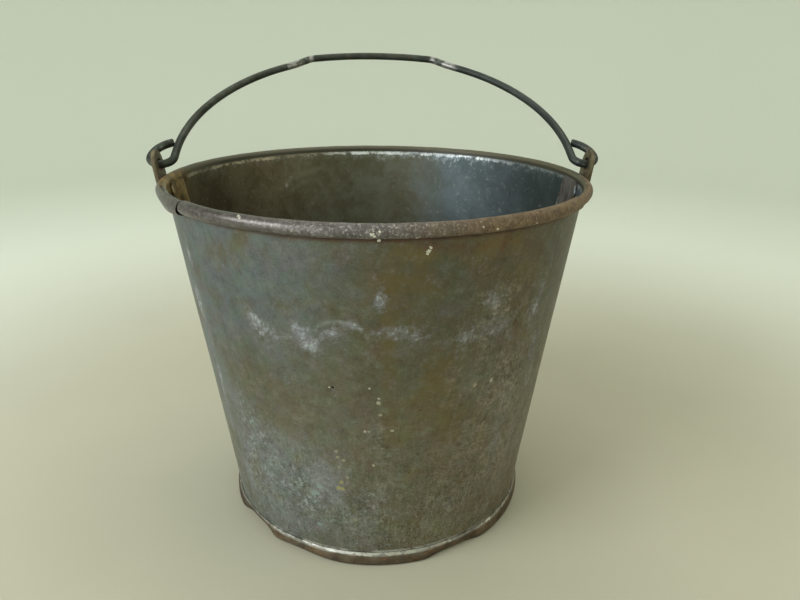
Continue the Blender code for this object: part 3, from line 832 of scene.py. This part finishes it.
class Surface:
    """A node material under construction. Sockets go in and sockets come out."""

    def __init__(self, name):
        self.material = bpy.data.materials.new(name)
        self.material.use_nodes = True
        self.tree = self.material.node_tree
        self.shader = self.tree.nodes["Principled BSDF"]
        self.place = self.tree.nodes.new("ShaderNodeTexCoord").outputs["Object"]
        self.ragged = None

    def node(self, kind, inputs=(), **settings):
        """Add a node, set its properties, and fill its inputs in order or by name."""
        made = self.tree.nodes.new(kind)
        for key, value in settings.items():
            setattr(made, key, value)
        pairs = inputs.items() if isinstance(inputs, dict) else enumerate(inputs)
        for key, value in pairs:
            self.feed(made.inputs[key], value)
        return made

    def feed(self, socket, value):
        """Link a socket or set a value."""
        if isinstance(value, bpy.types.NodeSocket):
            self.tree.links.new(value, socket)
        elif isinstance(value, tuple) and len(value) == 3 and len(socket.default_value) == 4:
            socket.default_value = (*value, 1)
        else:
            socket.default_value = value

    def stretched(self, height):
        """The place with its height scaled, for noise that is drawn out up and down."""
        inputs = {"Vector": self.place, "Scale": (1, 1, height)}
        return self.node("ShaderNodeMapping", inputs).outputs[0]

    def noise(self, scale, detail=5, rough=0.6, at=None, warp=0, output="Fac"):
        """Noise between 0 and 1, centred on one half, or random colours."""
        made = self.node("ShaderNodeTexNoise", {
            "Vector": at or self.place, "Scale": scale, "Detail": detail,
            "Roughness": rough, "Distortion": warp})
        return made.outputs[output]

    def math(self, operation, a, b=0):
        """Arithmetic on two values."""
        return self.node("ShaderNodeMath", (a, b), operation=operation).outputs[0]

    def times(self, value, *others):
        """The product of two or more values."""
        for other in others:
            value = self.math("MULTIPLY", value, other)
        return value

    def plus(self, a, b):
        """The sum of two values."""
        return self.math("ADD", a, b)

    def minus(self, a, b):
        """The difference of two values."""
        return self.math("SUBTRACT", a, b)

    def most(self, a, b):
        """The larger of two values."""
        return self.math("MAXIMUM", a, b)

    def swing(self, noise, width):
        """Noise centred on zero and scaled to a width."""
        return self.times(self.minus(noise, 0.5), width)

    def vector(self, operation, a, b=(0, 0, 0), output="Vector"):
        """Arithmetic on two vectors."""
        return self.node("ShaderNodeVectorMath", (a, b), operation=operation).outputs[output]

    def span(self, value, low, high, bottom=0, top=1):
        """A value's smooth climb from bottom to top as it goes from low to high."""
        made = self.node("ShaderNodeMapRange", {
            "Value": value, "From Min": low, "From Max": high, "To Min": bottom,
            "To Max": top}, interpolation_type="SMOOTHSTEP")
        return made.outputs["Result"]

    def fade(self, axis, low, high, bottom=0, top=1):
        """The same climb along an axis."""
        return self.span(self.along(axis), low, high, bottom, top)

    def mix(self, share, a, b, blend="MIX"):
        """Blend two colours."""
        inputs = dict(zip(MIX_INPUTS, (share, a, b)))
        made = self.node("ShaderNodeMix", inputs, data_type="RGBA", blend_type=blend)
        return made.outputs[MIX_OUTPUT]

    def over(self, base, colour, *shares):
        """A colour laid over a base, by the product of its shares."""
        return self.mix(self.times(*shares), base, colour)

    def tint(self, base, colour, value, start, full, most=1):
        """A colour laid over a base as a value goes from start to full."""
        return self.mix(self.span(value, start, full, 0, most), base, colour)

    def tones(self, value, colours, half=0.15):
        """From a pair's first colour to its second, as a value passes one half."""
        return self.mix(self.span(value, 0.5 - half, 0.5 + half), *colours)

    def painted(self, name):
        """A number painted on the mesh."""
        return self.node("ShaderNodeAttribute", attribute_name=name).outputs["Fac"]

    def along(self, axis):
        """One coordinate of the place."""
        return self.node("ShaderNodeSeparateXYZ", (self.place,)).outputs[axis]

    def flat(self):
        """The place without its height."""
        return self.vector("MULTIPLY", self.place, (1, 1, 0))

    def outward(self):
        """1 on faces that look away from the pail's axis, 0 on faces that look towards it."""
        away = self.vector("NORMALIZE", self.flat())
        normal = self.node("ShaderNodeNewGeometry").outputs["Normal"]
        return self.span(self.vector("DOT_PRODUCT", away, normal, "Value"), -0.1, 0.1)

    def out_from_axis(self):
        """Distance from the pail's axis."""
        return self.vector("LENGTH", self.flat(), output="Value")

    def away(self, centre):
        """Distance from a point."""
        return self.vector("DISTANCE", self.place, tuple(centre), "Value")

    def spot(self, centre, radius):
        """1 inside a small ragged spot around a point."""
        if self.ragged is None:
            self.ragged = self.minus(self.noise(900, 3), 0.5)
        edge = self.plus(self.away(centre), self.times(self.ragged, radius * 2.4))
        return self.span(edge, radius * 0.7, radius, 1, 0)

    def ring(self, centre, radius, width):
        """1 on a ring around a point, falling away over a width."""
        off = self.math("ABSOLUTE", self.minus(self.away(centre), radius))
        return self.span(off, 0, width, 1, 0)

    def finish(self, colour, metallic, roughness, *bumps):
        """Fill in the surface. A bump is its height, between 0 and 1, and its depth in metres."""
        values = {"Base Color": colour, "Metallic": metallic, "Roughness": roughness}
        for height, depth in bumps:
            inputs = {"Height": height, "Distance": depth}
            if "Normal" in values:
                inputs["Normal"] = values["Normal"]
            values["Normal"] = self.node("ShaderNodeBump", inputs).outputs["Normal"]
        for name, value in values.items():
            self.feed(self.shader.inputs[name], value)
        return self.material


def on_wall(azimuth, height):
    """A spot on the outside of the front sheet."""
    return around(azimuth, wall_radius(height, BACK_ROLL_R) + SHEET / 2, height)


def on_roll(azimuth, turn):
    """A spot on the outside of the front roll."""
    radius = FRONT_ROLL_R + SHEET / 2
    out = RIM_RADIUS + radius * math.cos(math.radians(turn))
    return around(azimuth, out, RIM_HEIGHT + radius * math.sin(math.radians(turn)))


def rust_colour(s, scale):
    """Mottled rust from dark brown to ochre."""
    tone = s.noise(scale, 6, 0.7)
    brown = s.mix(s.span(tone, 0.35, 0.6), RUST_DARK_AND_SHADE, RUST_BROWN)
    return s.tint(brown, RUST_OCHRE, tone, 0.6, 0.78)


def mottled_tin(s):
    """Dull tin: blue-grey at the left, partly a painted reflection of cool light; brown-grey at the
    right, lightened as painted fill light; mottled at three sizes.
    """
    drift = s.noise(8, 4, 0.55, warp=0.4)
    # The blue at the left is partly painted reflection; the brown at the right is lightened as
    # painted fill light.
    base = s.over(TIN_OLIVE, TIN_BLUE_AND_REFLECTION, s.fade("X", 0.02, -0.11), s.span(drift, 0.3, 0.58))
    base = s.over(base, TIN_BROWN_LIT, s.fade("X", -0.01, 0.12), s.span(s.noise(13), 0.34, 0.58))
    hue = s.noise(24, warp=0.5)
    base = s.tint(base, TIN_YELLOW, hue, 0.52, 0.66, 0.55)
    base = s.tint(base, TIN_GREY, hue, 0.44, 0.32, 0.45)
    blotch = s.noise(48, 6, 0.66, warp=0.6)
    base = s.tint(base, TIN_BROWN_LIT, blotch, 0.5, 0.66, 0.5)
    base = s.tint(base, TIN_BLUE_AND_REFLECTION, blotch, 0.46, 0.32, 0.3)
    base = s.mix(0.2, base, s.noise(85, rough=0.5, output="Color"), "OVERLAY")
    mottle = s.noise(130, 6, 0.75, warp=0.3)
    base = s.tint(base, TIN_PALE, mottle, 0.5, 0.68, 0.34)
    return s.tint(base, TIN_SHADE, mottle, 0.48, 0.34, 0.34)


def scoured(s, base):
    """Wiped streaks and pale grain over a base, strongest low down and at the right."""
    low = s.fade("Z", 0.15, 0.04)
    right = s.times(s.fade("X", 0.03, 0.1), s.fade("Z", 0.22, 0.14))
    patchy = s.span(s.noise(34, 4), 0.36, 0.6, 0.5, 1)
    strength = s.times(s.most(s.most(low, right), 0.18), patchy)
    streak = s.noise(430, 4, 0.65, at=s.stretched(0.22))
    wiped = s.noise(52, 6, 0.62, at=s.stretched(0.45))
    grain = s.noise(900, 3, 0.75)
    for texture, colour, start, full, most in (
            (streak, TIN_PALE, 0.5, 0.68, 0.5), (streak, TIN_SHADE, 0.47, 0.32, 0.45),
            (wiped, TIN_PALE, 0.52, 0.68, 0.38), (wiped, TIN_SHADE, 0.48, 0.34, 0.5),
            (grain, OXIDE, 0.53, 0.68, 0.7)):
        base = s.over(base, colour, s.span(texture, start, full), strength, most)
    return s.tint(base, TIN_SHADE, grain, 0.47, 0.26, 0.55)


def speckled(s, base):
    """Clustered pale speckles where the mesh is painted: tan at the right, bluish at the left."""
    speckle = s.painted("speckle")
    pale = s.mix(s.fade("X", -0.04, 0.03), OXIDE, TAN)
    base = s.over(base, pale, s.span(s.noise(38), 0.4, 0.62), speckle, 0.1)
    clusters = s.span(s.noise(75, rough=0.65), 0.4, 0.6)
    specks = s.span(s.noise(270, rough=0.74), 0.49, 0.6)
    base = s.over(base, pale, clusters, specks, speckle, 0.85)
    return s.over(base, TIN_SHADE, s.span(s.noise(230, rough=0.72), 0.47, 0.37), speckle, 0.7)


def bloomed(s, base):
    """Wispy pale oxide where the mesh is painted with bloom, and one faint ring of painted
    highlight outside a painted shadow line.
    """
    ragged = s.noise(85, 9, 0.78, warp=0.5)
    cloud = s.plus(ragged, s.times(s.noise(420, rough=0.75), 0.6))
    field = s.plus(s.times(s.painted("bloom"), 0.42), cloud)
    base = s.over(base, LAVENDER, s.span(field, 0.84, 1.12), 0.5)
    bits = s.span(s.noise(260, 6, 0.74), 0.44, 0.6)
    base = s.over(base, OXIDE, s.span(field, 0.96, 1.2), bits,
                  s.fade("Z", 0.09, 0.14, 0.45, 1), 0.8)
    top = s.times(s.fade("Z", 0.18, 0.19), s.span(cloud, 0.66, 0.9))
    # The ring: a faint painted highlight outside a dark painted shadow line.
    for height, radius, width, colour, strength in RING_HIGHLIGHT_AND_SHADOW:
        ring = s.ring(on_wall(RING_AZIMUTH, height), radius, width)
        base = s.over(base, colour, ring, top, strength)
    return base


def wall_rust(s):
    """Where the wall is rusty: its painted marks, and a seam of rust right under the roll."""
    rough = s.noise(95, 8, 0.75)
    field = s.plus(s.times(s.painted("rust"), 0.42), rough)
    marks = s.times(s.span(field, 0.7, 0.98), 0.85)
    under = s.times(s.fade("Z", 0.2435, 0.247), s.span(rough, 0.3, 0.5),
                    s.fade("X", -0.1, -0.02, 0.35, 0.95))
    return s.most(marks, under)


def wall_colour(s, rust):
    """The outside of the wall, darker towards the top as painted shade."""
    base = scoured(s, mottled_tin(s))
    # Painted shade: the wall's colour darkens towards the top.
    base = s.mix(1, base, s.fade("Z", 0.08, 0.235, 1.03, 0.6), "MULTIPLY")
    runs = s.span(s.noise(60, 6, 0.7), 0.32, 0.62)
    base = s.over(base, DRIP_STAIN, s.painted("stain"), runs, 0.66)
    base = bloomed(s, speckled(s, base))
    base = s.mix(rust, base, rust_colour(s, 160))
    # A dark band right under the roll: partly rust, partly painted shade under the roll.
    base = s.mix(s.fade("Z", 0.245, 0.2475, 0, 0.75), base, RUST_DARK_AND_SHADE)
    # A pale line on the front of the wall just above the foot band: painted highlight, also
    # covering the shade in the gap.
    broken = s.span(s.noise(90, rough=0.7), 0.4, 0.56)
    base = s.over(base, FOOT_SEAM_HIGHLIGHT, s.fade("Z", 0.013, 0.0112), broken,
                  s.fade("Y", -0.06, -0.1, 0.45, 1), 0.75)
    for colour, specks in WALL_SPECKS.items():
        for azimuth, height, radius in specks:
            base = s.mix(s.spot(on_wall(azimuth, height), radius), base, colour)
    return base


def inside_colour(s):
    """The inside: dark brown at the left, its darkness painted shade; olive at the back; blue-grey
    at the right, a painted reflection of the cool light from the left.
    """
    tone = s.noise(40, 7, 0.68, warp=0.4)
    fine = s.noise(300, 6, 0.72)
    edge = s.plus(s.along("X"), s.swing(tone, 0.05))
    # Painted shade darkens the left inner wall; the blue-grey at the right is a painted reflection.
    base = s.mix(s.span(edge, -0.105, -0.03), s.tones(tone, INSIDE_LEFT_SHADE),
                 s.tones(tone, INSIDE_MIDDLE))
    base = s.tint(base, s.tones(tone, INSIDE_RIGHT_REFLECTION), edge, 0.01, 0.08)
    base = s.tint(base, TIN_PALE, fine, 0.56, 0.74, 0.45)
    base = s.tint(base, TIN_SHADE, fine, 0.44, 0.26, 0.5)
    flecks = s.span(s.noise(110, 4), 0.62, 0.72)
    base = s.over(base, TIN_PALE, flecks, s.span(fine, 0.46, 0.62), 0.55)
    drip = s.noise(170, rough=0.7, at=s.stretched(0.5))
    reach = s.plus(s.along("Z"), s.swing(drip, 0.03))
    band = s.times(s.span(reach, 0.244, 0.25), s.fade("X", -0.05, 0.02, 0.1, 0.55),
                   s.fade("X", 0.125, 0.08, 0.35, 1))
    base = s.over(base, OXIDE, band, s.span(fine, 0.4, 0.58))
    return crease_line(s, base)


def crease_line(s, base):
    """The broken bright line where the wall turns into the roll, and a painted shadow in the groove
    above.
    """
    level = s.plus(s.along("Z"), s.swing(s.noise(500, 4, 0.7), 0.0022))
    thick = s.span(s.noise(75, rough=0.7), 0.36, 0.58)
    bottom = s.minus(CREASE, s.times(thick, CREASE_THICK))
    line = s.times(
        s.span(s.minus(level, bottom), 0, 0.0004),
        s.span(level, *CREASE_TOP),
        s.fade("X", -0.1, -0.05, 0.6, 1),
        s.most(thick, 0.2),
        s.span(s.noise(26, 3, 0.5), 0.4, 0.56, 0.3, 1),
        s.fade("X", 0.135, 0.07, 0.35, 1))
    base = s.mix(line, base, s.mix(s.fade("X", -0.075, -0.02), *CREASE_LINE))
    base = s.mix(s.fade("Z", *ABOVE_CREASE), base, UNDER_ROLL)
    # Painted shadow in the groove between the wall and the roll.
    return s.over(base, GROOVE_SHADOW, s.fade("Z", *GROOVE_BOTTOM), s.fade("Z", *GROOVE_TOP),
                  s.fade("X", -0.145, -0.125), 0.75)


def roll_colour(s):
    """The roll: pinkish grey at the left, pitted in front, rusty at the right, dark behind."""
    tone = s.noise(170, 7, 0.75, warp=0.4)
    pits = s.noise(620, rough=0.75)
    pitted = s.fade("X", -0.09, -0.01, 0.3, 1)
    base = s.over(s.tones(tone, ROLL), ROLL_PALE, s.span(pits, 0.52, 0.66), pitted, 0.8)
    base = s.over(base, ROLL_PIT, s.span(pits, 0.46, 0.34), pitted)
    brown = s.tones(s.noise(260, 6, 0.66), ROLL_BROWN, 0.16)
    brown = s.tint(brown, ROLL_OCHRE, s.noise(90, rough=0.66), 0.56, 0.68, 0.7)
    brown = s.tint(brown, ROLL_GRIT, pits, 0.56, 0.7, 0.45)
    base = s.over(base, brown, s.fade("X", -0.01, 0.07), s.span(tone, 0.24, 0.46), 0.9)
    base = s.mix(s.fade("Y", -0.045, 0.01), base, s.tones(tone, ROLL_BEHIND))
    for azimuth, turn, radius in ROLL_CHIPS:
        base = s.mix(s.spot(on_roll(azimuth, turn), radius), base, CHIP)
    return base


def wet_stain(s, base, roll, outside):
    """Wet rust that has run over the left plate and the inner half of the roll beside it."""
    tone = s.noise(85, rough=0.62, warp=0.3)
    edge = s.plus(s.away(WET_CENTRE), s.swing(tone, 0.02))
    inner = s.span(s.out_from_axis(), RIM_RADIUS + 0.003, RIM_RADIUS + 0.0005)
    return s.over(base, s.tones(tone, WET_RUST, 0.14), s.span(edge, *WET_REACH), inner,
                  s.most(roll, s.minus(1, outside)), 0.9)


def tinned_material():
    """Old tinned sheet, for both wall sheets."""
    s = Surface("aged_tin")
    roll = s.painted("roll")
    outside = s.outward()
    rust = s.times(wall_rust(s), outside)
    base = s.mix(outside, inside_colour(s), wall_colour(s, rust))
    lip = s.span(s.out_from_axis(), RIM_RADIUS - 0.0022, RIM_RADIUS - 0.0012)
    base = s.over(base, roll_colour(s), roll, s.most(lip, outside))
    base = wet_stain(s, base, roll, outside)

    rubbed_sheen = s.times(roll, s.fade("Y", -0.01, -0.06), s.fade("X", 0.03, -0.06))
    behind = s.times(s.fade("Z", 0.2508, 0.2516), s.fade("Y", -0.045, 0.01))
    metal = s.minus(0.85, s.times(s.most(rust, behind), 0.6))
    rough = s.plus(0.44, s.times(s.noise(48, 6, 0.66, warp=0.6), 0.14))
    rough = s.plus(rough, s.times(rust, 0.25))
    rough = s.minus(rough, s.times(rubbed_sheen, 0.28))
    return s.finish(base, metal, rough, (s.noise(700, 4, 0.7), 0.00005),
                    (s.noise(65, 4), 0.00025), (rust, 0.0001))


def bottom_material():
    """The bottom disc: duller tin with dark pits and patches of rust."""
    s = Surface("aged_tin_bottom")
    base = s.tones(s.noise(18, 6, warp=0.5), BOTTOM_TIN)
    pits = s.noise(480, rough=0.7)
    base = s.tint(base, RUST_DARK_AND_SHADE, pits, 0.58, 0.7)
    rust = s.span(s.noise(55, 8, 0.75), 0.58, 0.72)
    base = s.over(base, rust_colour(s, 170), rust, 0.8)
    rough = s.plus(0.45, s.times(rust, 0.3))
    return s.finish(base, s.minus(0.8, rust), rough, (pits, 0.00008), (s.noise(40, 3), 0.0003))


def band_material():
    """Rusted steel band, rubbed bare along its upper edge and painted with a highlight there."""
    s = Surface("rusted_band")
    edge = s.painted("bare")
    tone = s.noise(70, 7, 0.7, warp=0.5)
    rust = s.span(s.noise(110, 8, 0.72), 0.42, 0.62)
    base = s.mix(rust, s.tones(tone, BAND_STEEL), s.tones(tone, BAND_RUST, 0.12))
    # The light line along the top edge: rubbed bare metal with a painted highlight, brightest at
    # the front.
    base = s.over(base, BAND_EDGE_HIGHLIGHT, s.span(edge, 0.4, 0.72, 0, 0.6),
                  s.span(tone, 0.36, 0.52, 0.35, 1))
    wear = s.plus(s.times(edge, 0.55), s.noise(160, 6, 0.65))
    kept = s.span(s.noise(30, 3, 0.5), 0.42, 0.56, 0.3, 1)
    bare = s.times(s.span(wear, 0.92, 1.04), kept)
    base = s.mix(bare, base, BAND_BARE_HIGHLIGHT)
    base = s.mix(1, base, s.fade("X", -0.112, -0.08, 0.6, 1), "MULTIPLY")
    # Darker towards the bottom of the band.
    base = s.over(base, BAND_FOOT_DARK, s.painted("low"), 0.5)
    metal = s.math("MINIMUM", s.plus(bare, 0.35), 1)
    rough = s.minus(0.74, s.times(bare, 0.4))
    return s.finish(base, metal, rough, (s.noise(600, 6, 0.7), 0.00015), (tone, 0.0003))


def fitting_material():
    """Forged steel of straps, rivets and rim wire, olive-brown with patches of rust."""
    s = Surface("forged_steel")
    rust = s.span(s.noise(230, 7, 0.75), 0.5, 0.66)
    base = s.tones(s.noise(140, 7, 0.7, warp=0.4), FORGED)
    base = s.over(base, rust_colour(s, 300), rust, 0.8)
    rough = s.plus(0.52, s.times(rust, 0.25))
    metal = s.minus(0.75, s.times(rust, 0.5))
    return s.finish(base, metal, rough, (s.noise(500, 6, 0.7), 0.00014),
                    (s.noise(90, 3), 0.0003))


def plate_material():
    """Backing plates with a bright edge, rubbed and partly a painted highlight, ochre at the left
    and brown-grey at the right.
    """
    s = Surface("backing_plate")
    beside = s.math("ABSOLUTE", s.along("Y"))
    tone = s.noise(85, 6, 0.66, warp=0.3)
    base = s.mix(s.fade("X", 0.05, -0.05), s.tones(tone, PLATE_RIGHT), s.tones(tone, PLATE_LEFT))
    flare = s.times(s.minus(PLATE_TOP, s.along("Z")), PLATE_FLARE)
    from_edge = s.minus(s.plus(PLATE_TOP_HALF, flare), beside)
    # The bright edge: partly rubbed wear, partly a painted highlight.
    rubbed_sheen = s.times(s.span(s.plus(from_edge, s.swing(tone, 0.002)), 0.002, 0.0008),
                     s.span(tone, 0.38, 0.56))
    base = s.over(base, s.mix(s.fade("X", -0.05, 0.05), *PLATE_RUBBED_HIGHLIGHT), rubbed_sheen, 0.85)
    rough = s.minus(0.58, s.times(rubbed_sheen, 0.2))
    return s.finish(base, 0.6, rough, (s.noise(500, 6, 0.7), 0.0001))


def wire_material():
    """Drawn wire with an old dark skin, worn lighter where it bends and rubs."""
    s = Surface("bail_wire")
    base = s.tones(s.noise(60, 7, 0.7), WIRE_SKIN)
    base = s.mix(s.fade("X", 0.02, 0.12, 0, 0.5), base, WIRE_BLUE)
    wear = s.plus(s.times(s.painted("worn"), 0.4), s.noise(210, 6, 0.7))
    worn = s.span(wear, 0.66, 0.9)
    base = s.over(base, WIRE_WORN, worn, 0.7)
    base = s.over(base, RUST_BROWN, s.span(s.noise(160, 8, 0.75), 0.56, 0.68), 0.6)
    rough = s.minus(0.55, s.times(worn, 0.15))
    return s.finish(base, 0.8, rough, (s.noise(700, rough=0.7), 0.00008))


def backdrop_material():
    """Plain pale matt floor."""
    s = Surface("pale_floor")
    near_floor = s.tones(s.noise(3, 3), FLOOR_NEAR, 0.2)
    return s.finish(s.tint(near_floor, FLOOR_FAR, s.out_from_axis(), 0.25, 0.95), 0, 0.9)


# ---- studio

STUDIO_FLAT_R = 1.5
STUDIO_COVE_R = 0.8
STUDIO_TOP = 2.6
SKY_COLOUR = (0.9, 0.95, 0.85, 1)
SKY_STRENGTH = 0.55
# Soft lights: name, place, target, size, power, colour
LIGHTS = (
    ("key", (-1.2, -0.7, 0.9), (0, 0, 0.12), 0.9, 20, (0.93, 0.97, 1)),
    ("window", (-0.85, -1.2, 0.2), (0, 0, 0.2), 0.3, 3.5, (0.85, 0.93, 1)),
    ("fill", (1.2, -0.5, 0.9), (0, 0, 0.12), 1, 5, (1, 0.93, 0.8)),
    ("top", (0.1, 0.5, 1.7), (0, 0, 0.1), 1.2, 10, (1, 1, 0.95)),
)
CAMERA_PLACE = (-0.0143, -0.4854, 0.3421)
CAMERA_YAW, CAMERA_PITCH, CAMERA_ROLL = 0.0659, 0.3649, 0.0099
CAMERA_LENS = 29.64
CAMERA_NEAR = 0.01


def make_backdrop():
    """A pale floor that curves up into a wall all round."""
    profile = [(r, 0) for r in (0.02, 0.3, 0.7, 1.1)]
    profile += [(STUDIO_FLAT_R + STUDIO_COVE_R * math.sin(t), STUDIO_COVE_R * (1 - math.cos(t)))
                for t in spread(0, math.pi / 2, math.pi / 24)]
    profile.append((STUDIO_FLAT_R + STUDIO_COVE_R, STUDIO_TOP))
    points = [[around(azimuth, r, z) for r, z in profile] for azimuth in full_turn(4)]
    floor = disc_object("studio_floor", points)
    floor.data.shade_smooth()
    floor.data.materials.append(backdrop_material())


def make_light(name, place, target, size, power, colour):
    """A soft square light that the camera doesn't see."""
    data = bpy.data.lights.new(name, "AREA")
    data.size = size
    data.energy = power
    data.color = colour
    light = new_object(name, data)
    light.location = place
    light.rotation_euler = (Vector(target) - Vector(place)).to_track_quat("-Z", "Y").to_euler()
    light.visible_camera = False


def make_studio():
    """Floor, soft lights and an even pale sky."""
    make_backdrop()
    for light in LIGHTS:
        make_light(*light)
    world = bpy.data.worlds.new("studio")
    world.use_nodes = True
    background = world.node_tree.nodes["Background"]
    background.inputs["Color"].default_value = SKY_COLOUR
    background.inputs["Strength"].default_value = SKY_STRENGTH
    bpy.context.scene.world = world
    bpy.context.scene.view_settings.view_transform = "Standard"


def make_camera():
    """The camera, a little above the rim and in front of the pail."""
    data = bpy.data.cameras.new("camera")
    data.lens = CAMERA_LENS
    data.clip_start = CAMERA_NEAR
    camera = new_object("camera", data)
    camera.location = CAMERA_PLACE
    aim = Matrix.Rotation(-CAMERA_YAW, 4, "Z") @ Matrix.Rotation(math.pi / 2 - CAMERA_PITCH, 4, "X")
    camera.rotation_euler = (aim @ Matrix.Rotation(CAMERA_ROLL, 4, "Z")).to_euler()
    bpy.context.scene.camera = camera


tin = tinned_material()
fittings = fitting_material()
make_wall(tin)
make_rim_wire(fittings)
make_foot_band(band_material())
make_bottom(bottom_material())
make_fittings(fittings, plate_material())
make_rivets(fittings)
make_bail(wire_material())
make_studio()
make_camera()
